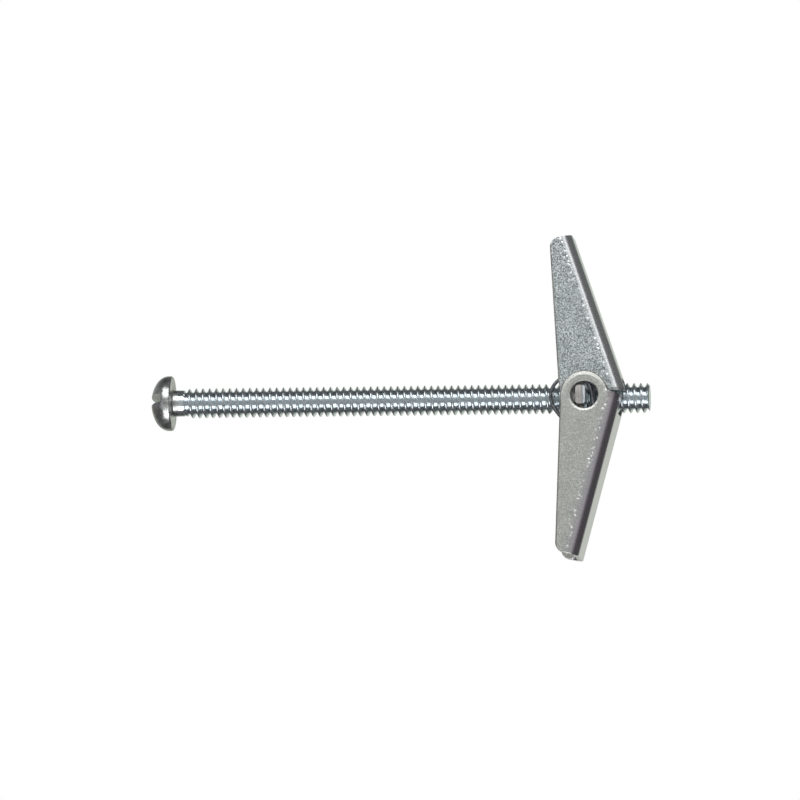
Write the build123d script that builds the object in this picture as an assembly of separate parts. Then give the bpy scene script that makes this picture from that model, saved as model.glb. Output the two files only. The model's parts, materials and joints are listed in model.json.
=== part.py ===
"""Spring-wing toggle bolt: a slotted round-head screw, a trunnion nut, a spring and two folding wings.

Frame: the origin is the centre of the head's bearing face, on the screw's axis. +X runs from the head
to the tip, the hinge axis of the wings runs along Y, and the inner wing stands up along +Z.
"""

import math
import os

from build123d import *

# ---- driving dimensions, millimetres and degrees ----

# screw
screw_length = 74.9  # bearing face to tip
thread_diameter = 4.7
threads_per_inch = 24
thread_depth = 0.65
thread_half_angle = 30
tip_chamfer = 0.35
stretch_turns = 4  # turns in each stretch that the shank is made from
flank_steps = 8  # points along each flank of the thread's section
trim_margin = 0.01  # how far the shank's envelope stays outside the crests
neck_diameter = 4.1
neck_length = 1.6
head_diameter = 8.6
head_height = 3.45
head_rim_height = 0.7
head_edge_radius = 0.3
neck_fillet = 0.3
slot_width = 1.45
slot_depth = 2.0
slot_turn = -8.3  # about the screw's axis, away from the hinge axis

# from the screw's tip back to the nut's hinge axis
pivot_from_tip = 9.8

# trunnion nut
nut_sheet = 1.5
nut_front = 0.15  # from the hinge axis to the tip-side face
nut_body_height = 7.8
nut_corner_radius = 0.6
tab_height = 2.9
tab_corner_radius = 0.45
collar_wall = 0.57
collar_reach = 2.5  # from the nut's head-side face towards the head
collar_edge_radius = 0.25

# wings
wing_reach = 25.1  # from the screw's axis to the outer wing's tip
inner_wing_extra = 0.2  # how much further the inner wing reaches
wing_sheet = 0.9
wing_bend_radius = 1.9  # outside of the bend
ear_radius = 3.7
inner_ear_radius = 3.6
ear_hole_radius = 2.13
tip_corner_radius = 1.6
notch_corner_radius = 0.8
shoulder_inset = 0.2  # from the ear's rim to where the flange's end steps up to the web
outer_wing = {
    "tip_z": wing_reach,
    "web_x": 5.7,  # hinge axis to the web's outer face, at the screw's axis
    "web_lean": 14.9,
    "edge_x": -3.75,  # hinge axis to the free edge, at the screw's axis
    "edge_lean": 1.9,
    "tip_slope": 11.5,
    "notch_end_play": 0.2,  # between the thread's crest and the end of the web's notch
    "strip_z": 0.05,  # where the strips beside the notch end
    "shoulder_z": -0.7,  # where the flange's end meets the ear
}
inner_wing = {
    "tip_z": wing_reach + inner_wing_extra,
    "web_x": 6.6,
    "web_lean": 18.9,
    "edge_x": -3.95,
    "edge_lean": 3.6,
    "tip_slope": 11.6,
    "notch_end_play": 0.55,
    "strip_z": 0.75,
    "shoulder_z": 0.75,
}

# spring
wire_diameter = 0.55
coil_radius = 3.25  # to the wire's middle
coil_offset = 2.2  # hinge axis to the coils' axis, towards the head
bridge_z = 8.2  # where the bridge lies on the inner wing's web
leg_z = 9.2  # how far the free legs reach along the outer wing's web
bridge_bend_radius = 0.9

# clearances
thread_play = 0.08  # between the thread's crest and the nut's bore
tab_play = 0.12  # between the tabs' ends and the outer wing's faces
nest_play = 0.09  # between the two wings' ears
flange_play = 0.065  # between the spring's coils and the inner wing's flanges
body_play = 0.12  # between the nut's body and the spring
wire_play = 0.03  # between the spring's wire and what it lies beside
notch_play = 0.6  # between the thread's crest and the sides of the web's notch
overshoot = 20  # how far cutting shapes reach past what they cut

# ---- derived sizes ----

pitch = 25.4 / threads_per_inch
crest_radius = thread_diameter / 2
root_radius = crest_radius - thread_depth
crest_flat = pitch / 8
flank_run = thread_depth * math.tan(math.radians(thread_half_angle))
root_flat = pitch - crest_flat - 2 * flank_run
bore_radius = crest_radius + thread_play
wire_radius = wire_diameter / 2

# the wire lies beside the thread, and crosses itself once outside that
inner_wire_y = crest_radius + wire_play + wire_radius
outer_wire_y = inner_wire_y + wire_diameter + wire_play / 2
inner_half_width = outer_wire_y + wire_radius + flange_play + wing_sheet
outer_half_width = inner_half_width + nest_play + wing_sheet
body_half_width = inner_wire_y - wire_radius
tab_half_length = outer_half_width + tab_play
notch_half_width = crest_radius + notch_play
pivot_x = screw_length - pivot_from_tip
coil_x = pivot_x - coil_offset


def box_between(low, high):
    """Give a box between two opposite corners."""
    size = [b - a for a, b in zip(low, high)]
    middle = [(a + b) / 2 for a, b in zip(low, high)]
    return Pos(*middle) * Box(*size)


def disc_along_x(radius, x_start, x_end):
    """Give a cylinder on the screw's axis."""
    return extrude(Plane.YZ.offset(x_start) * Circle(radius), x_end - x_start)


# ---- screw ----


def thread_section():
    """Give the thread cut square to its axis: root arc, rising flank, crest arc, falling flank."""
    half_root = math.pi * root_flat / pitch
    half_crest = math.pi * crest_flat / pitch
    flank_turn = math.pi - half_crest - half_root

    def polar(radius, turn):
        return (radius * math.cos(turn), radius * math.sin(turn))

    rise = [
        polar(root_radius + thread_depth * i / flank_steps, half_root + flank_turn * i / flank_steps)
        for i in range(flank_steps + 1)
    ]
    fall = [(x, -y) for x, y in reversed(rise)]
    outline = [
        Edge.make_three_point_arc(fall[-1], (root_radius, 0), rise[0]),
        Edge.make_spline(rise),
        Edge.make_three_point_arc(rise[-1], (-crest_radius, 0), fall[0]),
        Edge.make_spline(fall),
    ]
    return Face(Wire(outline))


def thread_stretch(start, turns):
    """Give a stretch of plain thread, a number of turns long, cut square at both ends."""
    plane = Plane(origin=(start, 0, 0), x_dir=(0, 1, 0), z_dir=(1, 0, 0))
    return Solid.extrude_linear_with_rotation(
        plane * thread_section(), (start, 0, 0), (turns * pitch, 0, 0), 360 * turns
    )


def thread_envelope():
    """Give the solid that the thread is cut back to: run-out under the neck, chamfer at the tip."""
    outside = crest_radius + trim_margin
    outline = Polyline(
        (neck_length / 2, 0),
        (neck_length / 2, root_radius),
        (neck_length, root_radius),
        (neck_length + pitch, outside),
        (screw_length - tip_chamfer, outside),
        (screw_length, crest_radius - tip_chamfer),
        (screw_length, 0),
        close=True,
    )
    return revolve(Plane.XZ * make_face(outline), Axis.X)


def head():
    """Give the round head, its slot and the plain neck under it."""
    radius = head_diameter / 2
    neck = neck_diameter / 2
    dome = head_height - head_rim_height
    outline = Line((-head_height, 0), (neck_length, 0))
    outline += Line((neck_length, 0), (neck_length, neck))
    outline += Line((neck_length, neck), (neck_fillet, neck))
    outline += RadiusArc((neck_fillet, neck), (0, neck + neck_fillet), -neck_fillet)
    outline += Line((0, neck + neck_fillet), (0, radius - head_edge_radius))
    outline += RadiusArc((0, radius - head_edge_radius), (-head_edge_radius, radius), -head_edge_radius)
    outline += Line((-head_edge_radius, radius), (-head_rim_height, radius))
    outline += EllipticalCenterArc((-head_rim_height, 0), dome, radius, 90, arc_size=90)
    turned = revolve(Plane.XZ * make_face(outline), Axis.X)
    slot = box_between(
        (-head_height - overshoot, -radius - overshoot, -slot_width / 2),
        (-head_height + slot_depth, radius + overshoot, slot_width / 2),
    )
    return turned - Rot(slot_turn, 0, 0) * slot


def machine_screw():
    """Join head, neck and shank; the shank is made in stretches of whole turns, end to end."""
    start = neck_length / 2
    stretch = stretch_turns * pitch
    count = int((screw_length - start) / stretch) - 1
    envelope = thread_envelope()
    first = head() + (Part([thread_stretch(start, stretch_turns)]) & envelope)
    middle = [thread_stretch(start + stretch * (i + 1), stretch_turns) for i in range(count)]
    rest = thread_stretch(start + stretch * (count + 1), 2 * stretch_turns)
    last = Part([rest]) & envelope
    return first.fuse(*middle, *last.solids())


# ---- nut ----


def trunnion_nut():
    """Give the strip nut: a tall middle, a tab each side and a drawn collar round the bore."""
    front = pivot_x + nut_front
    back = front - nut_sheet
    strip = Plane.YZ.offset(back) * Rectangle(2 * body_half_width - 2 * body_play, nut_body_height)
    body = extrude(strip, nut_sheet)
    body = fillet(body.edges().filter_by(Axis.X), nut_corner_radius)
    tab_face = Plane.XZ.offset(-tab_half_length) * Pos((front + back) / 2, 0) * RectangleRounded(
        nut_sheet, tab_height, tab_corner_radius
    )
    tabs = extrude(tab_face, 2 * tab_half_length)
    collar = disc_along_x(bore_radius + collar_wall, back - collar_reach, back)
    collar = fillet(collar.edges().group_by(Axis.X)[0], collar_edge_radius)
    bore = disc_along_x(bore_radius, back - overshoot, front + overshoot)
    return body + tabs + collar - bore


# ---- wings ----


def web_point(wing, z, depth=0.0):
    """Give the wing's web at a height, as (x, z), some depth in from its outer face."""
    lean = math.radians(wing["web_lean"])
    return (pivot_x + wing["web_x"] - z * math.tan(lean) - depth / math.cos(lean), z)


def edge_point(wing, z):
    """Give the wing's free edge at a height, as (x, z)."""
    return (pivot_x + wing["edge_x"] - z * math.tan(math.radians(wing["edge_lean"])), z)


def side_outline(wing):
    """Give the wing's side view, without the ear: web, sloping tip, round corner, free edge."""
    slope = math.tan(math.radians(wing["tip_slope"]))
    web_tip = web_point(wing, wing["tip_z"])
    edge_tip = edge_point(wing, wing["tip_z"] - (web_tip[0] - edge_point(wing, wing["tip_z"])[0]) * slope)
    start = wing["strip_z"]
    shoulder = wing["shoulder_z"]
    ear_front = math.sqrt(ear_radius**2 - shoulder**2)
    outline = Polyline(
        (pivot_x, shoulder),
        (pivot_x + ear_front - shoulder_inset, shoulder),
        web_point(wing, start),
        web_tip,
        edge_tip,
        edge_point(wing, shoulder),
        close=True,
    )
    face = make_face(outline)
    corner = face.vertices().sort_by(Axis.Y)[-2]
    return fillet(corner, tip_corner_radius)


def channel(half_width, bend_radius, face_x):
    """Give a round-cornered channel section that is open towards -X, its web's face at face_x."""
    section = Pos(face_x - overshoot, 0) * Rectangle(2 * overshoot, 2 * half_width)
    return fillet(section.vertices().group_by(Axis.X)[-1], bend_radius)


def folded_wing(wing, half_width, ear):
    """Give one channel-shaped wing, standing up from the hinge axis, with its two round ears."""
    inside = half_width - wing_sheet
    solid = extrude(Plane.XZ * side_outline(wing), half_width, both=True)
    # the bends run along the web's two long edges
    web_low = web_point(wing, wing["strip_z"])
    along = Location((web_low[0], 0, web_low[1]), (0, -wing["web_lean"], 0)) * Pos(0, 0, -overshoot)
    length = 2 * overshoot + 2 * wing["tip_z"]
    solid = solid & along * extrude(channel(half_width, wing_bend_radius, 0), length)
    solid = solid - along * extrude(channel(inside, wing_bend_radius - wing_sheet, -wing_sheet), length)
    # ears round the hinge axis, both sides
    ears = extrude(Plane.XZ * Pos(pivot_x, 0) * Circle(ear), half_width, both=True)
    ears = ears - box_between((pivot_x - ear, -inside, -ear), (pivot_x + ear, inside, ear))
    solid = solid + ears
    # notch for the screw in the web
    notch_end = crest_radius + wing["notch_end_play"]
    notch = box_between(
        (pivot_x, -notch_half_width, -overshoot), (pivot_x + overshoot, notch_half_width, notch_end)
    )
    notch = fillet(notch.edges().filter_by(Axis.X).group_by(Axis.Z)[-1], notch_corner_radius)
    holes = extrude(Plane.XZ * Pos(pivot_x, 0) * Circle(ear_hole_radius), overshoot, both=True)
    return solid - notch - holes


def wing_inner():
    """Give the upper wing, whose ears lie inside the other's."""
    return folded_wing(inner_wing, inner_half_width, inner_ear_radius)


def wing_outer():
    """Give the lower wing, whose ears lie outside."""
    return mirror(folded_wing(outer_wing, outer_half_width, ear_radius), Plane.XY)


# ---- spring ----


def tangent_turn(point):
    """Give the turn, about the coils' axis, where a leg that ends at the point leaves the coil."""
    dx = point[0] - coil_x
    away = math.hypot(dx, point[1])
    return math.atan2(point[1], dx) - math.acos(coil_radius / away)


def on_coil(turn, y_at_front):
    """Give a point on a coil's middle line; the coil slants from its back to y_at_front."""
    x = coil_radius * math.cos(turn)
    y_at_back = (inner_wire_y + outer_wire_y) / 2
    y = y_at_back + (y_at_front - y_at_back) * (x + coil_radius) / (2 * coil_radius)
    return Vector(coil_x + x, y, coil_radius * math.sin(turn))


def spring_path():
    """Give half of the wire's middle line: half the bridge, its leg, one coil and one free leg."""
    lie = wing_sheet + wire_play + wire_radius
    bridge_x, bridge_height = web_point(inner_wing, bridge_z, lie)
    foot_x, foot_height = web_point(outer_wing, leg_z, lie)
    leave_up = tangent_turn((bridge_x, bridge_height))
    leave_down = -tangent_turn((foot_x, foot_height))
    coil_start = on_coil(leave_up, inner_wire_y)
    coil_back = on_coil(math.pi, inner_wire_y)
    coil_end = on_coil(leave_down, outer_wire_y)
    foot = Vector(foot_x, coil_end.Y, -foot_height)

    # the bridge's corner is a quarter circle in the plane of its leg and the Y axis
    corner = Vector(bridge_x, coil_start.Y, bridge_height)
    along_leg = (coil_start - corner).normalized()
    across = Vector(0, -1, 0)
    bend_centre = corner + (along_leg + across) * bridge_bend_radius
    bend_start = corner + across * bridge_bend_radius
    bend_end = corner + along_leg * bridge_bend_radius
    bend_middle = bend_centre + (corner - bend_centre).normalized() * bridge_bend_radius
    lower_half = on_coil(-math.pi / 2, inner_wire_y)
    upper_half = on_coil(math.pi / 2, outer_wire_y)
    return Wire(
        [
            Edge.make_line(Vector(bend_start.X, 0, bend_start.Z), bend_start),
            Edge.make_three_point_arc(bend_start, bend_middle, bend_end),
            Edge.make_line(bend_end, coil_start),
            Edge.make_three_point_arc(coil_start, lower_half, coil_back),
            Edge.make_three_point_arc(coil_back, upper_half, coil_end),
            Edge.make_line(coil_end, foot),
        ]
    )


def torsion_spring():
    """Give the spring: a bridge under the inner wing, a coil each side, two legs under the outer."""
    path = spring_path()
    section = Plane(origin=path @ 0, z_dir=path % 0) * Circle(wire_radius)
    half = sweep(section, path=path, transition=Transition.RIGHT)
    return half + mirror(half, Plane.XZ)


if __name__ == "__main__":
    os.makedirs("parts", exist_ok=True)
    nodes = {
        "machine_screw": machine_screw(),
        "trunnion_nut": trunnion_nut(),
        "torsion_spring": torsion_spring(),
        "wing_outer": wing_outer(),
        "wing_inner": wing_inner(),
    }
    for name, shape in nodes.items():
        export_step(shape, f"parts/{name}.step")
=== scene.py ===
"""Spring-wing toggle bolt: final meshes, finishes, studio light and camera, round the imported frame.

Shapes are worked out in millimetres in the frame's own axes and made in metres: +X runs along the
screw from its head to its tip, Y is the wings' hinge axis, and the inner wing stands up along +Z.
"""
import json
import math

import bmesh
import bpy
from mathutils import Matrix, Vector

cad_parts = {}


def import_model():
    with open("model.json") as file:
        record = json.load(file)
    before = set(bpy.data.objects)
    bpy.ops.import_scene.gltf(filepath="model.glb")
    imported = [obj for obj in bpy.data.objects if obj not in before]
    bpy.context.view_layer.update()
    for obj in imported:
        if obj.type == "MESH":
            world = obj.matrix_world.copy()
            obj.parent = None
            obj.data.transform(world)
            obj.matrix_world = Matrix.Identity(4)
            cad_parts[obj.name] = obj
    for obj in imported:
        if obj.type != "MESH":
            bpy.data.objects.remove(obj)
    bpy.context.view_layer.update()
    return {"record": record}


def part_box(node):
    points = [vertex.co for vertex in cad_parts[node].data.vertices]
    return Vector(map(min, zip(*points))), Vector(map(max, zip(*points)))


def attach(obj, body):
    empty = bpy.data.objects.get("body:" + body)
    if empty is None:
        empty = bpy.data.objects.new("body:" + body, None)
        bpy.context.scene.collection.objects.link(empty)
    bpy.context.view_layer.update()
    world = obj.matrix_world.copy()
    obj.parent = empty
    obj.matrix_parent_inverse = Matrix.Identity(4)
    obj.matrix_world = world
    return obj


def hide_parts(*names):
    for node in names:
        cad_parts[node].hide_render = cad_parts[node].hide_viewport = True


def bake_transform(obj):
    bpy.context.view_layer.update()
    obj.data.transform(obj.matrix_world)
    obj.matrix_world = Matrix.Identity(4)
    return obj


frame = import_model()

MM = 0.001

# ---- sizes, millimetres and degrees ----

PITCH = 25.4 / 24
CREST = 2.35  # thread radius over the crests
ROOT = 1.70
NECK = 2.05
NECK_END = 1.6
THREAD_START = NECK_END + 0.2
RUNOUT_TURNS = 0.9  # the thread grows to its full depth in this share of a turn
HEAD_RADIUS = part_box("machine_screw")[1][2] / MM
HEAD_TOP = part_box("machine_screw")[0][0] / MM
TIP_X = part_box("machine_screw")[1][0] / MM
RIM_HEIGHT = 0.7
RIM_ROUND = 0.3
NECK_FILLET = 0.3
SLOT_WIDTH = 1.45
SLOT_DEPTH = 2.0
SLOT_TURN = -8.3
SLOT_CORNER = 0.18
TIP_CHAMFER = 0.35

hinge = next(j for j in frame["record"]["behaviour"]["joints"] if j["name"] == "inner_wing_fold")
PIVOT_X = hinge["pos_m"][0] / MM

SHEET = 0.9
BEND = 1.9  # outside radius of a wing's bends
HOLE = 2.13
TIP_CORNER = 1.6
NOTCH_HALF_WIDTH = 2.95
NOTCH_CORNER = 0.8
FREE_EDGE_FOOT = 2.2  # height where the free edge runs into the ear
OUTER = {
    "half_width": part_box("wing_outer")[1][1] / MM,
    "ear": 3.7,
    "tip_z": 25.1,
    "web_x": 5.7,
    "web_lean": 14.9,
    "edge_x": -3.75,
    "edge_lean": 1.9,
    "tip_slope": 11.5,
    "notch_z": 2.55,
    "strip_z": 0.05,
    "shoulder_z": -0.7,
}
INNER = {
    "half_width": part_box("wing_inner")[1][1] / MM,
    "ear": 3.6,
    "tip_z": 25.3,
    "web_x": 6.6,
    "web_lean": 18.9,
    "edge_x": -3.95,
    "edge_lean": 3.6,
    "tip_slope": 11.6,
    "notch_z": 2.9,
    "strip_z": 0.75,
    "shoulder_z": 0.75,
}

NUT_SHEET = 1.5
NUT_FRONT = PIVOT_X + 0.15
NUT_HEIGHT = 7.8
NUT_HALF_WIDTH = 2.26
NUT_CORNER = 0.6
TAB_HALF_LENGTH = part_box("trunnion_nut")[1][1] / MM
TAB_HEIGHT = 2.9
TAB_CORNER = 0.45
BORE = 2.43
COLLAR = 3.0
COLLAR_REACH = 2.5

WIRE = 0.275  # the wire's radius
WIRE_GAP = 0.03  # between the wire and the web that it pushes on
COIL = 3.25  # the coils' mean radius
COIL_X = PIVOT_X - 2.2
COIL_INNER_Y = 2.655
COIL_OUTER_Y = 3.22
BRIDGE_Z = 8.2
LEG_Z = 9.2
BRIDGE_BEND = 0.9

# widths of the small rounding on sharp edges
WING_EDGE = 0.3
NUT_EDGE = 0.12
SCREW_EDGE = 0.07

# how finely round shapes are divided
TURN_STEPS = 64
EAR_STEPS = 72
BEND_STEPS = 14
OVERSHOOT = 1  # how far a cutter sticks out of what it cuts


# ---- mesh tools ----


def to_object(name, bm):
    """Make an object in metres from a bmesh in millimetres."""
    bmesh.ops.recalc_face_normals(bm, faces=bm.faces)
    bm.transform(Matrix.Scale(MM, 4))
    mesh = bpy.data.meshes.new(name)
    bm.to_mesh(mesh)
    bm.free()
    piece = bpy.data.objects.new(name, mesh)
    bpy.context.scene.collection.objects.link(piece)
    return piece


def prism(name, outline, low, high, place=Matrix()):
    """Extrude a closed outline of (a, b) points along c from low to high, then put it in place."""
    bm = bmesh.new()
    bottom = [bm.verts.new(place @ Vector((a, b, low))) for a, b in outline]
    top = [bm.verts.new(place @ Vector((a, b, high))) for a, b in outline]
    bm.faces.new(bottom)
    bm.faces.new(list(reversed(top)))
    for i in range(len(outline)):
        j = (i + 1) % len(outline)
        bm.faces.new((bottom[i], bottom[j], top[j], top[i]))
    return to_object(name, bm)


# outlines in the XZ plane are extruded along Y, and outlines in the YZ plane along X
ALONG_Y = Matrix(((1, 0, 0, 0), (0, 0, 1, 0), (0, 1, 0, 0), (0, 0, 0, 1)))
ALONG_X = Matrix(((0, 0, 1, 0), (1, 0, 0, 0), (0, 1, 0, 0), (0, 0, 0, 1)))


def join_rings(bm, rings):
    """Join each ring of vertices to the next with a band of faces."""
    for near, far in zip(rings, rings[1:]):
        count = len(near)
        for i in range(count):
            j = (i + 1) % count
            bm.faces.new((near[i], near[j], far[j], far[i]))


def arc(centre, radius, start, end, steps):
    """Give points on an arc, both ends included, with its angles in degrees."""
    points = []
    for i in range(steps + 1):
        turn = math.radians(start + (end - start) * i / steps)
        points.append((centre[0] + radius * math.cos(turn), centre[1] + radius * math.sin(turn)))
    return points


def circle(radius, steps, centre=(0, 0)):
    """Give a closed circle's points."""
    return arc(centre, radius, 0, 360 - 360 / steps, steps - 1)


def rounded(points, radii, steps=8):
    """Round the corners of a closed outline; a radius of 0 leaves a corner as it is."""
    out = []
    count = len(points)
    for i, radius in enumerate(radii):
        corner = Vector(points[i])
        if not radius:
            out.append(tuple(corner))
            continue
        back = (Vector(points[i - 1]) - corner).normalized()
        on = (Vector(points[(i + 1) % count]) - corner).normalized()
        half = back.angle(on) / 2
        centre = corner + (back + on).normalized() * radius / math.sin(half)
        start = corner + back * radius / math.tan(half) - centre
        end = corner + on * radius / math.tan(half) - centre
        for k in range(steps + 1):
            share = k / steps
            out.append(tuple(centre + Vector(start.slerp(end, share).normalized()) * radius))
    return out


def finish_mesh(piece):
    """Apply the object's modifiers to its mesh."""
    graph = bpy.context.evaluated_depsgraph_get()
    mesh = bpy.data.meshes.new_from_object(piece.evaluated_get(graph))
    piece.modifiers.clear()
    piece.data = mesh


def combine(piece, others, operation):
    """Cut, join or keep what is common, one object after another."""
    for other in others:
        step = piece.modifiers.new("combine", "BOOLEAN")
        step.operation = operation
        step.solver = "EXACT"
        step.object = other
        finish_mesh(piece)
        bpy.data.objects.remove(other)


def bevel(piece, width, segments, angle):
    """Round the edges that are sharper than the angle, to a width in millimetres."""
    step = piece.modifiers.new("edges", "BEVEL")
    step.width = width * MM
    step.segments = segments
    step.limit_method = "ANGLE"
    step.angle_limit = math.radians(angle)
    step.use_clamp_overlap = True
    finish_mesh(piece)


def soften(piece, width, segments=3):
    """Clean up a cut mesh, round its sharp edges and shade smoothly between them."""
    bm = bmesh.new()
    bm.from_mesh(piece.data)
    bmesh.ops.remove_doubles(bm, verts=bm.verts, dist=0.002 * MM)
    bmesh.ops.dissolve_limit(bm, angle_limit=math.radians(0.5), verts=bm.verts, edges=bm.edges)
    bm.to_mesh(piece.data)
    bm.free()
    bevel(piece, width, segments, 32)
    shade(piece, 28)
    weigh_normals(piece)


def shade(piece, angle):
    """Shade smoothly, apart from edges sharper than the angle."""
    piece.data.shade_smooth()
    piece.data.set_sharp_from_angle(angle=math.radians(angle))


def weigh_normals(piece):
    """Let the large faces set the normals, so that flats stay flat up to their rounded edges."""
    step = piece.modifiers.new("normals", "WEIGHTED_NORMAL")
    step.keep_sharp = True
    step.weight = 100
    finish_mesh(piece)


# ---- screw ----


def thread_profile():
    """Give the thread's (axial share of a pitch, radius) points, with soft corners."""
    crest = 1 / 8
    flank = (CREST - ROOT) * math.tan(math.radians(30)) / PITCH
    root = 1 - crest - 2 * flank
    soft = 0.035  # half a rounded corner's width, as a share of a pitch
    dip = 0.03  # a rounded corner falls about this far short of a sharp one
    points = [
        (0.0, ROOT - 0.01),
        (root / 2 - soft, ROOT),
        (root / 2 + soft, ROOT + dip * 2),
        (root / 2 + flank * 0.5, (ROOT + CREST) / 2),
        (root / 2 + flank - soft, CREST - dip * 2.3),
        (root / 2 + flank, CREST - dip * 0.6),
        (root / 2 + flank + soft, CREST),
        (0.5, CREST),
    ]
    mirrored = [(1 - share, radius) for share, radius in reversed(points[1:-1])]
    return points + mirrored


def shank_limit(x):
    """Give the largest radius at a place on the axis: run-out under the neck, chamfer at the tip."""
    thin = NECK - 0.2  # the run-out starts a little below the neck's surface
    grown = min(max((x - THREAD_START) / (RUNOUT_TURNS * PITCH), 0), 1)
    runout = thin + (CREST - thin) * grown
    chamfer = CREST - TIP_CHAMFER + (TIP_X - x)
    return min(chamfer, runout)


def add_shank(bm, start_ring):
    """Add the threaded shank to the ring that the neck ends in, and close the tip."""
    profile = thread_profile()
    start = THREAD_START
    rows = [start_ring]
    turns = int((TIP_X - start) / PITCH) + 2
    for turn in range(-1, turns):
        for share, radius in profile:
            ring = []
            for i in range(TURN_STEPS):
                around = i / TURN_STEPS
                x = start + (turn + share + around) * PITCH
                x = min(max(x, start), TIP_X)
                r = min(radius, shank_limit(x))
                if x in (start, TIP_X):
                    r = NECK if x == start else shank_limit(x)
                angle = 2 * math.pi * around
                ring.append(bm.verts.new((x, r * math.cos(angle), r * math.sin(angle))))
            rows.append(ring)
    join_rings(bm, rows)
    bm.faces.new(rows[-1])


def screw():
    """Make the screw: round head with its slot, plain neck and threaded shank."""
    dome = HEAD_RADIUS
    depth = -HEAD_TOP - RIM_HEIGHT
    profile = []
    steps = 28
    for i in range(1, steps + 1):
        turn = math.pi / 2 * i / steps
        profile.append((-RIM_HEIGHT - depth * math.cos(turn), dome * math.sin(turn)))
    profile += arc((-RIM_ROUND, dome - RIM_ROUND), RIM_ROUND, 90, 0, 6)
    # two rings on the bearing face keep its faces short
    profile += [(0, dome - 1.2), (0, NECK + 0.6)]
    profile += arc((NECK_FILLET, NECK + NECK_FILLET), NECK_FILLET, 180, 270, 6)
    profile += [(THREAD_START, NECK)]
    bm = bmesh.new()
    rings = []
    for x, r in profile:
        ring = []
        for i in range(TURN_STEPS):
            angle = 2 * math.pi * i / TURN_STEPS
            ring.append(bm.verts.new((x, r * math.cos(angle), r * math.sin(angle))))
        rings.append(ring)
    pole = bm.verts.new((HEAD_TOP, 0, 0))
    join_rings(bm, rings)
    for i in range(TURN_STEPS):
        bm.faces.new((pole, rings[0][(i + 1) % TURN_STEPS], rings[0][i]))
    add_shank(bm, rings[-1])
    bmesh.ops.remove_doubles(bm, verts=bm.verts, dist=0.0005)
    piece = to_object("screw", bm)
    half = SLOT_WIDTH / 2
    low = HEAD_TOP - OVERSHOOT
    bottom = HEAD_TOP + SLOT_DEPTH
    outline = rounded(
        [(low, -half), (bottom, -half), (bottom, half), (low, half)], (0, SLOT_CORNER, SLOT_CORNER, 0)
    )
    place = Matrix.Rotation(math.radians(SLOT_TURN), 4, "X") @ ALONG_Y
    slot_cutter = prism("slot", outline, -dome - OVERSHOOT, dome + OVERSHOOT, place)
    combine(piece, [slot_cutter], "DIFFERENCE")
    bevel(piece, SCREW_EDGE, 2, 50)
    shade(piece, 35)
    weigh_normals(piece)
    return piece


# ---- wings ----


def web_line(wing, z):
    """Give x on the outer face of a wing's web at a height."""
    return PIVOT_X + wing["web_x"] - z * math.tan(math.radians(wing["web_lean"]))


def edge_line(wing, z):
    """Give x on a wing's free edge at a height."""
    return PIVOT_X + wing["edge_x"] - z * math.tan(math.radians(wing["edge_lean"]))


def side_outline(wing):
    """Give a wing's side view as a closed outline: round ear, shoulder, web, tip, free edge."""
    ear = wing["ear"]
    shoulder = wing["shoulder_z"]
    first = math.degrees(math.asin(shoulder / ear))
    tip_z = wing["tip_z"]
    web_tip = web_line(wing, tip_z)
    drop = (web_tip - edge_line(wing, tip_z)) * math.tan(math.radians(wing["tip_slope"]))
    straight = rounded(
        [
            (web_line(wing, wing["strip_z"]), wing["strip_z"]),
            (web_tip, tip_z),
            (edge_line(wing, tip_z - drop), tip_z - drop),
            (edge_line(wing, FREE_EDGE_FOOT), FREE_EDGE_FOOT),
        ],
        (0, 0, TIP_CORNER, 0),
        14,
    )
    round_ear = arc((PIVOT_X, 0), ear, 188, 360 + first, EAR_STEPS)
    return straight + round_ear


def channel_outline(wing):
    """Give the folded sheet's cross-section: web at 0, flanges running back along -a."""
    half = wing["half_width"]
    back = -30  # past the flanges' free edges, which the side view trims
    inner = BEND - SHEET
    return (
        [(back, -half)]
        + arc((-BEND, -half + BEND), BEND, 270, 360, BEND_STEPS)
        + arc((-BEND, half - BEND), BEND, 0, 90, BEND_STEPS)
        + [(back, half), (back, half - SHEET)]
        + arc((-BEND, half - BEND), inner, 90, 0, BEND_STEPS)
        + arc((-BEND, -half + BEND), inner, 360, 270, BEND_STEPS)
        + [(back, -half + SHEET)]
    )


def wing_piece(name, wing, side):
    """Make one wing from its folded section, its side view, its ear holes and its notch."""
    half = wing["half_width"]
    lean = math.radians(wing["web_lean"])
    # the section's long axis runs up the web, past both ends of the side view
    place = Matrix.Translation((web_line(wing, 0), 0, 0)) @ Matrix.Rotation(-lean, 4, "Y")
    piece = prism(name, channel_outline(wing), -12, 40, place)
    reach = half + OVERSHOOT
    outline = prism("side", side_outline(wing), -reach, reach, ALONG_Y)
    combine(piece, [outline], "INTERSECT")
    hole = prism("hole", circle(HOLE, EAR_STEPS, (PIVOT_X, 0)), -reach, reach, ALONG_Y)
    width = NOTCH_HALF_WIDTH
    top = wing["notch_z"]
    notch_outline = rounded(
        [(-width, -2), (width, -2), (width, top), (-width, top)], (0, 0, NOTCH_CORNER, NOTCH_CORNER)
    )
    # from between the ears to well past the web
    notch = prism("notch", notch_outline, PIVOT_X + 1, PIVOT_X + 12, ALONG_X)
    combine(piece, [hole, notch], "DIFFERENCE")
    if side < 0:
        piece.data.transform(Matrix.Scale(-1, 4, (0, 0, 1)))
        piece.data.flip_normals()
    soften(piece, WING_EDGE, 4)
    return piece


# ---- nut ----


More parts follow.
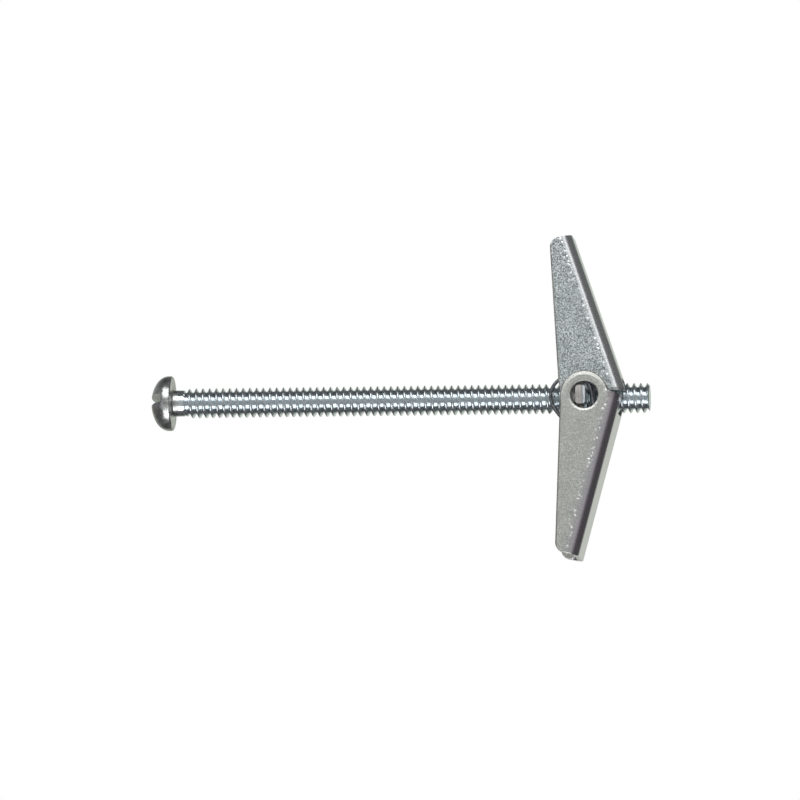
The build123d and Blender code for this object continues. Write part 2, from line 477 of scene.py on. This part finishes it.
def nut():
    """Make the stamped nut: tall middle, a tab each side, drawn collar, bore."""
    back = NUT_FRONT - NUT_SHEET
    half = NUT_HALF_WIDTH
    tall = NUT_HEIGHT / 2
    body_outline = rounded(
        [(-half, -tall), (half, -tall), (half, tall), (-half, tall)], (NUT_CORNER,) * 4
    )
    body = prism("nut", body_outline, back, NUT_FRONT, ALONG_X)
    tab = TAB_HEIGHT / 2
    tab_outline = rounded(
        [(back, -tab), (NUT_FRONT, -tab), (NUT_FRONT, tab), (back, tab)], (TAB_CORNER,) * 4
    )
    tabs = prism("tabs", tab_outline, -TAB_HALF_LENGTH, TAB_HALF_LENGTH, ALONG_Y)
    collar_end = back - COLLAR_REACH
    sunk = 0.4  # the collar starts inside the sheet, so that the two join
    collar = prism("collar", circle(COLLAR, TURN_STEPS), collar_end, back + sunk, ALONG_X)
    combine(body, [tabs, collar], "UNION")
    bore_ends = (collar_end - OVERSHOOT, NUT_FRONT + OVERSHOOT)
    bore = prism("bore", circle(BORE, TURN_STEPS), *bore_ends, ALONG_X)
    combine(body, [bore], "DIFFERENCE")
    soften(body, NUT_EDGE)
    return body


# ---- spring ----


def tube(name, path, radius, around=16):
    """Make a round wire along a path, with rounded ends."""
    bm = bmesh.new()
    points = [Vector(p) for p in path]
    count = len(points)
    tangents = []
    for i in range(count):
        before = points[max(i - 1, 0)]
        after = points[min(i + 1, count - 1)]
        tangents.append((after - before).normalized())
    side = tangents[0].orthogonal().normalized()
    rings = []

    def add_ring(centre, tangent, across, r):
        other = tangent.cross(across)
        ring = []
        for k in range(around):
            angle = 2 * math.pi * k / around
            offset = across * math.cos(angle) + other * math.sin(angle)
            ring.append(bm.verts.new(centre + offset * r))
        rings.append(ring)

    cap = radius * 0.25
    add_ring(points[0] - tangents[0] * cap, tangents[0], side, radius - cap)
    for i in range(count):
        side = (side - tangents[i] * side.dot(tangents[i])).normalized()
        add_ring(points[i], tangents[i], side, radius)
    add_ring(points[-1] + tangents[-1] * cap, tangents[-1], side, radius - cap)
    join_rings(bm, rings)
    bm.faces.new(rings[0])
    bm.faces.new(rings[-1])
    piece = to_object(name, bm)
    shade(piece, 40)
    return piece


def web_inside(wing, z):
    """Give the wire's middle where it lies on the inside of a wing's web, as (x, z)."""
    lean = math.radians(wing["web_lean"])
    return (web_line(wing, z) - (SHEET + WIRE + WIRE_GAP) / math.cos(lean), z)


def leave_turn(point):
    """Give the angle on the coil where a straight leg to the point leaves it."""
    dx = point[0] - COIL_X
    return math.atan2(point[1], dx) - math.acos(COIL / math.hypot(dx, point[1]))


def coil_point(turn, front_y):
    """Give a point on a coil, which slants from its back to front_y."""
    x = COIL * math.cos(turn)
    back_y = (COIL_INNER_Y + COIL_OUTER_Y) / 2
    y = back_y + (front_y - back_y) * (x + COIL) / (2 * COIL)
    return Vector((COIL_X + x, y, COIL * math.sin(turn)))


def coil_half(start, end, front_y, steps=30):
    """Give points on a coil between two turns."""
    return [coil_point(start + (end - start) * i / steps, front_y) for i in range(steps + 1)]


def between(start, end, steps=12):
    """Give points on a straight run, without its first end."""
    return [start.lerp(end, (i + 1) / steps) for i in range(steps)]


def spring():
    """Make the spring as a bridge with its lower half coils, and two free legs with the upper ones."""
    bridge = web_inside(INNER, BRIDGE_Z)
    foot = web_inside(OUTER, LEG_Z)
    up = leave_turn(bridge)
    down = -leave_turn(foot)
    half = coil_half(-math.pi, up, COIL_INNER_Y)
    corner = Vector((bridge[0], half[-1].y, bridge[1]))
    back = (half[-1] - corner).normalized() * BRIDGE_BEND
    across = Vector((0, -BRIDGE_BEND, 0))
    half += between(half[-1], corner + back)
    centre = corner + back + across
    steps = 8
    for i in range(1, steps + 1):
        turn = math.pi / 2 * i / steps
        half.append(centre - across * math.cos(turn) - back * math.sin(turn))
    half += between(half[-1], Vector((corner.x, 0, corner.z)), 6)
    other = [Vector((p.x, -p.y, p.z)) for p in reversed(half[:-1])]
    upper = tube("spring_bridge", half + other, WIRE)
    legs = []
    for side in (1, -1):
        path = coil_half(math.pi, down, COIL_OUTER_Y)
        path += between(path[-1], Vector((foot[0], path[-1].y, -foot[1])))
        path = [Vector((p.x, p.y * side, p.z)) for p in path]
        legs.append(tube(f"spring_leg_{'far' if side > 0 else 'near'}", path, WIRE))
    return upper, legs


# ---- materials ----


class Nodes:
    """A small helper that adds and links shader nodes."""

    def __init__(self, name):
        self.material = bpy.data.materials.new(name)
        self.material.use_nodes = True
        self.tree = self.material.node_tree
        self.shader = self.tree.nodes["Principled BSDF"]
        self.place = self.add("ShaderNodeTexCoord").outputs["Object"]

    def add(self, kind, **settings):
        """Add a node and set its properties."""
        node = self.tree.nodes.new(kind)
        for key, value in settings.items():
            setattr(node, key, value)
        return node

    def link(self, a, b):
        """Join an output to an input."""
        self.tree.links.new(a, b)

    def noise(self, scale, detail=4.0, roughness=0.55, stretch=None):
        """Give noise, its scale in features per metre, stretched along an axis if asked."""
        node = self.add("ShaderNodeTexNoise")
        node.inputs["Scale"].default_value = scale
        node.inputs["Detail"].default_value = detail
        node.inputs["Roughness"].default_value = roughness
        source = self.place
        if stretch:
            mapping = self.add("ShaderNodeMapping")
            mapping.inputs["Scale"].default_value = stretch
            self.link(self.place, mapping.inputs["Vector"])
            source = mapping.outputs["Vector"]
        self.link(source, node.inputs["Vector"])
        return node.outputs["Fac"]

    def cells(self, scale):
        """Give the distance to the nearest of many scattered points, its scale in points per metre."""
        node = self.add("ShaderNodeTexVoronoi")
        node.inputs["Scale"].default_value = scale
        self.link(self.place, node.inputs["Vector"])
        return node.outputs["Distance"]

    def ramp(self, value, *stops):
        """Give a colour ramp through (position, colour) stops."""
        node = self.add("ShaderNodeValToRGB")
        elements = node.color_ramp.elements
        while len(elements) < len(stops):
            elements.new(0.5)
        for element, (position, colour) in zip(elements, stops):
            element.position = position
            element.color = (*colour, 1)
        self.link(value, node.inputs["Fac"])
        return node.outputs["Color"]

    def level(self, value, low, high, to_low, to_high):
        """Map a value from one range to another, clamped."""
        node = self.add("ShaderNodeMapRange")
        names = ("From Min", "From Max", "To Min", "To Max")
        for name, number in zip(names, (low, high, to_low, to_high)):
            node.inputs[name].default_value = number
        self.link(value, node.inputs["Value"])
        return node.outputs["Result"]

    def math(self, operation, a, b=0.0):
        """Work on one value or combine two."""
        node = self.add("ShaderNodeMath", operation=operation)
        for socket, value in zip(node.inputs, (a, b)):
            if isinstance(value, (int, float)):
                socket.default_value = value
            else:
                self.link(value, socket)
        return node.outputs["Value"]

    def product(self, a, b):
        """Multiply two values."""
        return self.math("MULTIPLY", a, b)

    def mix(self, share, a, b):
        """Mix two colours, from all a at 0 to all b at 1."""
        node = self.add("ShaderNodeMix", data_type="RGBA")
        for socket, value in ((node.inputs[0], share), (node.inputs[6], a), (node.inputs[7], b)):
            if isinstance(value, (int, float)):
                socket.default_value = value
            elif isinstance(value, tuple):
                socket.default_value = (*value, 1)
            else:
                self.link(value, socket)
        return node.outputs[2]

    def axes(self):
        """Give the place's three coordinates, in metres."""
        split = self.add("ShaderNodeSeparateXYZ")
        self.link(self.place, split.inputs["Vector"])
        return split.outputs

    def bump(self, height, strength, distance):
        """Roughen the surface by a height from 0 to 1 that stands for a distance in millimetres."""
        node = self.add("ShaderNodeBump")
        node.inputs["Strength"].default_value = strength
        node.inputs["Distance"].default_value = distance * MM
        self.link(height, node.inputs["Height"])
        self.link(node.outputs["Normal"], self.shader.inputs["Normal"])


def metal(nodes, colour, roughness):
    """Set the shader to metal with a colour and a roughness."""
    shader = nodes.shader
    shader.inputs["Metallic"].default_value = 1.0
    nodes.link(colour, shader.inputs["Base Color"])
    nodes.link(roughness, shader.inputs["Roughness"])


def axis_distance(nodes):
    """Give the distance from the screw's axis, in metres, and the place along it."""
    x, y, z = nodes.axes()
    squares = nodes.math("ADD", nodes.product(y, y), nodes.product(z, z))
    return nodes.math("SQRT", squares), x


def screw_zinc():
    """Bright zinc: blotched head, shank with painted shade in the thread roots and on the crest flats,
    and fine rolling marks.
    """
    nodes = Nodes("screw_zinc")
    radius, along = axis_distance(nodes)
    depth = nodes.level(radius, ROOT * MM, CREST * MM, 0, 1)
    # painted shade: darker in the thread roots and on the crest flats, which gives the crests dark
    # outlines; lightest on the flanks just under the crests
    thread_colour_with_painted_shade = nodes.ramp(
        depth,
        (0.0, (0.62, 0.69, 0.73)),
        (0.45, (0.78, 0.85, 0.88)),
        (0.85, (0.92, 0.97, 0.98)),
        (1.0, (0.74, 0.79, 0.81)),
    )
    blotch = nodes.noise(650, 5, 0.65)
    head_colour = nodes.ramp(blotch, (0.36, (0.24, 0.23, 0.21)), (0.60, (0.66, 0.68, 0.68)))
    is_head = nodes.level(along, 0.0012, 0.0006, 0, 1)
    colour = nodes.mix(is_head, thread_colour_with_painted_shade, head_colour)
    fine = nodes.noise(5200, 3, 0.6)
    tinted = nodes.mix(nodes.level(fine, 0.35, 0.7, 0, 0.35), colour, (0.9, 0.94, 0.95))
    rough = nodes.level(nodes.noise(1500, 4, 0.6), 0.3, 0.7, 0.14, 0.28)
    rough = nodes.math("ADD", rough, nodes.product(is_head, 0.10))
    metal(nodes, tinted, rough)
    marks = nodes.noise(2600, 4, 0.6, stretch=(1.0, 0.25, 0.25))
    waves = nodes.product(nodes.noise(750, 3, 0.5), 6.0)
    nodes.bump(nodes.math("ADD", marks, waves), 0.6, 0.014)
    return nodes.material


# each wing's own zinc: colours of its grain, how fast one gives way to the other, the colour of the
# painted reflection band on the bends, where that starts past the bend, how much of the painted dark
# reflection band round the bends, nicks and grain height in mm
OUTER_ZINC = {
    "light": (0.76, 0.77, 0.73),
    "dark": (0.44, 0.45, 0.42),
    "contrast": 1.7,
    "painted_bend_colour": (0.72, 0.69, 0.74),
    "bend_fade": 0.8,
    "painted_dark_band": 0.55,
    "nicks": 1.0,
    "grain": 0.014,
}
INNER_ZINC = {
    "light": (0.90, 0.95, 0.96),
    "dark": (0.18, 0.21, 0.22),
    "contrast": 2.1,
    "painted_bend_colour": (0.90, 0.92, 0.92),
    "bend_fade": -0.15,
    "painted_dark_band": 0.3,
    "nicks": 0.6,
    "grain": 0.030,
}
# painted dark reflection band round the bends
PAINTED_DARK_BAND_COLOUR = (0.14, 0.12, 0.14)
# painted dark reflection on the wings' rounded edges
PAINTED_EDGE_SHADE_COLOUR = (0.16, 0.13, 0.11)
NICK_COLOUR = (1.0, 1.0, 0.99)


def web_depth(nodes, wing, side, x, z):
    """Give the distance in from the web's outer face, in millimetres: it is BEND where a bend ends."""
    lean = math.radians(wing["web_lean"])
    across = nodes.product(x, math.cos(lean) / MM)
    up = nodes.product(z, side * math.sin(lean) / MM)
    face = (PIVOT_X + wing["web_x"]) * math.cos(lean)
    return nodes.math("SUBTRACT", face, nodes.math("ADD", across, up))


def bend_nicks(nodes, depth, amount):
    """Give the share of bright nicks, which the die left in a row along the bends."""
    spot = nodes.level(nodes.cells(1500), 0.18, 0.46, 1, 0)
    near_bend = nodes.product(nodes.level(depth, BEND + 0.9, BEND + 0.1, 0.12, 1), amount)
    chosen = nodes.level(nodes.noise(1100, 2), 0.41, 0.47, 0, 1)
    off_bend = nodes.level(depth, BEND - 0.4, BEND - 0.1, 0, 1)
    return nodes.product(nodes.product(spot, near_bend), nodes.product(chosen, off_bend))


def wing_zinc(name, wing, side, zinc):
    """Zinc on pressed sheet: mottled grain on the flats, drawn smooth round the bends, with painted
    reflection bands on the bends and painted dark reflections on the rounded edges.
    """
    nodes = Nodes(name)
    x, _, z = nodes.axes()
    depth = web_depth(nodes, wing, side, x, z)
    from_pivot = nodes.math("SUBTRACT", x, PIVOT_X * MM)
    squares = nodes.math("ADD", nodes.math("POWER", from_pivot, 2.0), nodes.math("POWER", z, 2.0))
    radius = nodes.math("DIVIDE", nodes.math("SQRT", squares), MM)
    free_side = nodes.level(z, side * MM, -side * MM, 0, 1)

    # grain
    coarse = nodes.noise(4200, 4, 0.7)
    specks = nodes.noise(8200, 3, 0.7)
    mottle = nodes.math("ADD", nodes.product(coarse, 0.4), nodes.product(specks, 0.6))
    half = 0.11 / zinc["contrast"]
    share = nodes.level(mottle, 0.5 - half, 0.5 + half, 0, 1)
    colour = nodes.mix(share, zinc["dark"], zinc["light"])
    patches = nodes.level(nodes.noise(260, 4, 0.6), 0.35, 0.65, 0.0, 0.22)
    colour = nodes.mix(patches, colour, zinc["dark"])

    # the bends: a painted pale reflection band next to the flange and a painted dark reflection band
    # further round
    in_bend = nodes.level(depth, BEND + zinc["bend_fade"], BEND - 0.6, 0, 0.8)
    colour = nodes.mix(in_bend, colour, zinc["painted_bend_colour"])
    outside = nodes.level(depth, 1.3, 0.6, 0, 1)
    off_web = nodes.level(depth, 0.04, 0.30, 0, 1)
    # painted dark reflection band, part way round each bend
    painted_dark_band = nodes.product(nodes.product(outside, off_web), zinc["painted_dark_band"])
    colour = nodes.mix(painted_dark_band, colour, PAINTED_DARK_BAND_COLOUR)

    # painted dark reflections on the rounded edges, round the ear's free side and along the free edge
    rim_line = nodes.level(radius, wing["ear"] - 0.16, wing["ear"] - 0.04, 0, 1)
    rim_line = nodes.product(rim_line, free_side)
    lean_in = nodes.product(z, side * math.tan(math.radians(wing["edge_lean"])))
    from_edge = nodes.math("DIVIDE", nodes.math("ADD", from_pivot, lean_in), MM)
    edge_share = nodes.level(from_edge, wing["edge_x"] + 0.30, wing["edge_x"] + 0.12, 0, 1)
    below_ear = nodes.level(z, side * 0.5 * MM, side * 1.5 * MM, 0, 1)
    painted_edge_shade = nodes.math("MAXIMUM", rim_line, nodes.product(edge_share, below_ear))
    colour = nodes.mix(nodes.product(painted_edge_shade, 0.65), colour, PAINTED_EDGE_SHADE_COLOUR)
    nicks = bend_nicks(nodes, depth, zinc["nicks"])
    colour = nodes.mix(nicks, colour, NICK_COLOUR)

    rough = nodes.level(mottle, 0.35, 0.65, 0.30, 0.42)
    metal(nodes, colour, nodes.math("SUBTRACT", rough, nodes.product(in_bend, 0.14)))

    height = nodes.math("ADD", mottle, nodes.product(nodes.noise(700, 3), 0.8))
    height = nodes.product(height, nodes.level(depth, BEND - 0.6, BEND, 0.3, 1))
    height = nodes.math("ADD", height, nodes.product(nicks, 3.0))
    # the die rolled the edge over round the ear's free side, round its hole and beside the shoulder
    rim = nodes.product(nodes.level(radius, wing["ear"] - 0.6, wing["ear"], 0, 1), free_side)
    rolled = nodes.math("ADD", rim, nodes.level(radius, HOLE + 0.4, HOLE, 0, 0.8))
    shoulder = side * wing["shoulder_z"] * MM
    flange_end = nodes.level(z, shoulder + side * 0.5 * MM, shoulder, 0, 1)
    beside_ear = nodes.level(from_pivot, (wing["ear"] - 0.8) * MM, (wing["ear"] - 0.2) * MM, 0, 1)
    rolled = nodes.math("MAXIMUM", rolled, nodes.product(flange_end, beside_ear))
    rolled = nodes.product(rolled, 0.12 / zinc["grain"])
    nodes.bump(nodes.math("SUBTRACT", height, rolled), 0.7, zinc["grain"])
    return nodes.material


def nut_zinc():
    """Dull zinc on the stamped nut, with a torn and a burnished band across its sheared ends."""
    nodes = Nodes("nut_zinc")
    x = nodes.axes()["X"]
    lines = nodes.noise(4200, 3, 0.6, stretch=(1.0, 1.0, 0.12))
    torn = nodes.ramp(lines, (0.3, (0.42, 0.40, 0.38)), (0.7, (0.82, 0.80, 0.77)))
    band = (NUT_FRONT - 0.52) * MM
    burnished = nodes.level(x, band, band + 0.06 * MM, 0, 1)
    edge = nodes.product(burnished, nodes.level(x, band + 0.16 * MM, band + 0.1 * MM, 0, 1))
    colour = nodes.mix(burnished, torn, (0.84, 0.90, 0.95))
    lined = nodes.mix(edge, colour, (0.10, 0.11, 0.13))
    rough = nodes.level(nodes.noise(1300, 4), 0.3, 0.7, 0.26, 0.42)
    metal(nodes, lined, rough)
    nodes.bump(lines, 0.4, 0.02)
    return nodes.material


def wire_steel():
    """Drawn spring steel: dark and smooth, with draw marks along the wire."""
    nodes = Nodes("wire_steel")
    drawn = nodes.noise(3600, 3, 0.6)
    colour = nodes.ramp(drawn, (0.35, (0.14, 0.145, 0.16)), (0.7, (0.34, 0.35, 0.37)))
    rough = nodes.level(nodes.noise(900, 3), 0.3, 0.7, 0.24, 0.40)
    metal(nodes, colour, rough)
    nodes.bump(drawn, 0.3, 0.008)
    return nodes.material


# ---- the object ----


def give(piece, material, body, slot, *cad_nodes):
    """Finish a piece: material, body and the CAD nodes that it stands for; the slot argument is not
    used.

    A piece given no body is left unattached.
    """
    piece.data.materials.clear()
    piece.data.materials.append(material)
    if body:
        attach(piece, body)
    if cad_nodes:
        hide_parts(*cad_nodes)


give(screw(), screw_zinc(), "screw", "zinc_screw", "machine_screw")
give(nut(), nut_zinc(), "nut", "zinc_nut", "trunnion_nut")
outer_zinc = wing_zinc("outer_wing_zinc", OUTER, -1, OUTER_ZINC)
inner_zinc = wing_zinc("inner_wing_zinc", INNER, 1, INNER_ZINC)
give(wing_piece("outer_wing", OUTER, -1), outer_zinc, "outer_wing", "zinc_wing", "wing_outer")
give(wing_piece("inner_wing", INNER, 1), inner_zinc, "inner_wing", "zinc_wing", "wing_inner")
steel = wire_steel()
spring_upper, spring_legs = spring()
give(spring_upper, steel, None, "spring_wire", "torsion_spring")
for leg in spring_legs:
    give(leg, steel, None, "spring_wire")
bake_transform(spring_upper)
for leg in spring_legs:
    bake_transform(leg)

# ---- stage, light and camera ----

FLOOR_Z = -200  # millimetres
FLOOR_HALF = 4000


def floor():
    """Make a plain pale floor well below the bolt."""
    bm = bmesh.new()
    size = FLOOR_HALF
    corners = [(-size, -size), (size, -size), (size, size), (-size, size)]
    bm.faces.new([bm.verts.new((x, y, FLOOR_Z)) for x, y in corners])
    plane = to_object("floor", bm)
    nodes = Nodes("floor_paint")
    colour = nodes.ramp(nodes.noise(40, 3), (0.3, (0.80, 0.80, 0.80)), (0.7, (0.84, 0.84, 0.84)))
    nodes.link(colour, nodes.shader.inputs["Base Color"])
    nodes.shader.inputs["Roughness"].default_value = 0.7
    plane.data.materials.append(nodes.material)
    plane.visible_glossy = False  # the bolt mirrors the room below it, not the floor
    plane.visible_shadow = False


def world():
    """White all round, but the bolt mirrors a room: grey front, dark sides, bright greenish back."""
    studio = bpy.data.worlds.new("studio")
    bpy.context.scene.world = studio
    studio.use_nodes = True
    tree = studio.node_tree
    tree.nodes.clear()
    links = tree.links
    out = tree.nodes.new("ShaderNodeOutputWorld")
    mix = tree.nodes.new("ShaderNodeMixShader")
    rays = tree.nodes.new("ShaderNodeLightPath")
    white = tree.nodes.new("ShaderNodeBackground")
    white.inputs["Color"].default_value = (1, 1, 1, 1)
    room = tree.nodes.new("ShaderNodeBackground")
    where = tree.nodes.new("ShaderNodeTexCoord")
    split = tree.nodes.new("ShaderNodeSeparateXYZ")
    links.new(where.outputs["Generated"], split.inputs["Vector"])

    def graded(value, *stops):
        """Give a colour ramp over a value that runs from -1 to 1."""
        spread = tree.nodes.new("ShaderNodeMapRange")
        spread.inputs["From Min"].default_value = -1
        links.new(value, spread.inputs["Value"])
        ramp = tree.nodes.new("ShaderNodeValToRGB")
        elements = ramp.color_ramp.elements
        while len(elements) < len(stops):
            elements.new(0.5)
        for element, (position, colour) in zip(elements, stops):
            element.position = (position + 1) / 2
            element.color = (*colour, 1)
        links.new(spread.outputs["Result"], ramp.inputs["Fac"])
        return ramp.outputs["Color"]

    walls = graded(
        split.outputs["Y"],
        (-0.98, (0.36, 0.37, 0.36)),
        (-0.80, (0.40, 0.39, 0.40)),
        (-0.66, (0.33, 0.31, 0.33)),
        (-0.54, (0.15, 0.14, 0.15)),
        (-0.38, (0.07, 0.065, 0.07)),
        (0.50, (0.07, 0.065, 0.07)),
        (0.70, (0.12, 0.12, 0.12)),
        (0.82, (0.48, 0.51, 0.45)),
        (0.97, (0.66, 0.70, 0.62)),
    )
    heights = graded(
        split.outputs["Z"],
        (-0.85, (0.30, 0.30, 0.31)),
        (-0.45, (0.70, 0.70, 0.72)),
        (-0.20, (1.0, 1.0, 1.0)),
        (0.45, (0.85, 0.86, 0.87)),
        (0.85, (0.30, 0.30, 0.31)),
    )
    ends = graded(
        split.outputs["Z"],
        (-1.0, (0.06, 0.06, 0.065)),
        (-0.60, (0.0, 0.0, 0.0)),
        (0.26, (0.0, 0.0, 0.0)),
        (0.42, (0.08, 0.085, 0.08)),
        (0.56, (0.08, 0.085, 0.08)),
        (0.75, (0.03, 0.03, 0.03)),
        (1.0, (0.06, 0.06, 0.065)),
    )

    def combined(blend, a, b):
        """Multiply or add two colours."""
        mixed = tree.nodes.new("ShaderNodeMix")
        mixed.data_type = "RGBA"
        mixed.blend_type = blend
        mixed.inputs[0].default_value = 1
        links.new(a, mixed.inputs[6])
        links.new(b, mixed.inputs[7])
        return mixed.outputs[2]

    links.new(combined("ADD", combined("MULTIPLY", walls, heights), ends), room.inputs["Color"])
    links.new(rays.outputs["Is Glossy Ray"], mix.inputs["Fac"])
    links.new(white.outputs["Background"], mix.inputs[1])
    links.new(room.outputs["Background"], mix.inputs[2])
    links.new(mix.outputs["Shader"], out.inputs["Surface"])


def softbox(name, azimuth, elevation, wide, tall, brightness):
    """Add a rectangular area light round the wings, its place and its spread in degrees.

    Azimuth 0 is in front, on the -Y side, and grows towards +X. Brightness is its face's radiance.
    """
    distance = 0.8
    middle = Vector((0.045, 0, 0))
    around = math.radians(azimuth)
    up = math.radians(elevation)
    away = Vector((
        math.sin(around) * math.cos(up), -math.cos(around) * math.cos(up), math.sin(up)
    ))
    light = bpy.data.lights.new(name, "AREA")
    light.shape = "RECTANGLE"
    light.size = 2 * distance * math.tan(math.radians(wide / 2))
    light.size_y = 2 * distance * math.tan(math.radians(tall / 2))
    light.energy = brightness * math.pi * light.size * light.size_y
    holder = bpy.data.objects.new(name, light)
    holder.location = middle + away * distance
    holder.rotation_euler = (-away).to_track_quat("-Z", "Y").to_euler()
    bpy.context.scene.collection.objects.link(holder)


def camera():
    """Look along +Y from a little towards the tip's side and a little below, as the photo does."""
    azimuth = math.radians(6.5)
    elevation = math.radians(-7.3)
    distance = 1.2
    target = Vector((35.75, 0, 0.14)) * MM
    away = Vector((
        math.sin(azimuth) * math.cos(elevation),
        -math.cos(azimuth) * math.cos(elevation),
        math.sin(elevation),
    ))
    lens = bpy.data.cameras.new("camera")
    lens.sensor_width = 36
    seen_width = 0.125  # at the bolt
    lens.lens = lens.sensor_width * distance / seen_width
    lens.clip_end = 20
    holder = bpy.data.objects.new("camera", lens)
    holder.location = target + away * distance
    roll = Matrix.Rotation(math.radians(0.13), 4, "Z")
    facing = (-away).to_track_quat("-Z", "Y").to_matrix().to_4x4() @ roll
    holder.rotation_euler = facing.to_euler()
    bpy.context.scene.collection.objects.link(holder)
    bpy.context.scene.camera = holder


floor()
world()
softbox("key", -8, 41, 60, 32, 2.6)
softbox("lower", -4, -52, 56, 34, 2.6)
softbox("side", 38, 21, 11, 10, 1.4)
softbox("left", -112, 8, 60, 40, 0.08)
softbox("tip", 92, 0, 44, 60, 0.05)
camera()
bpy.context.scene.view_settings.view_transform = "Standard"
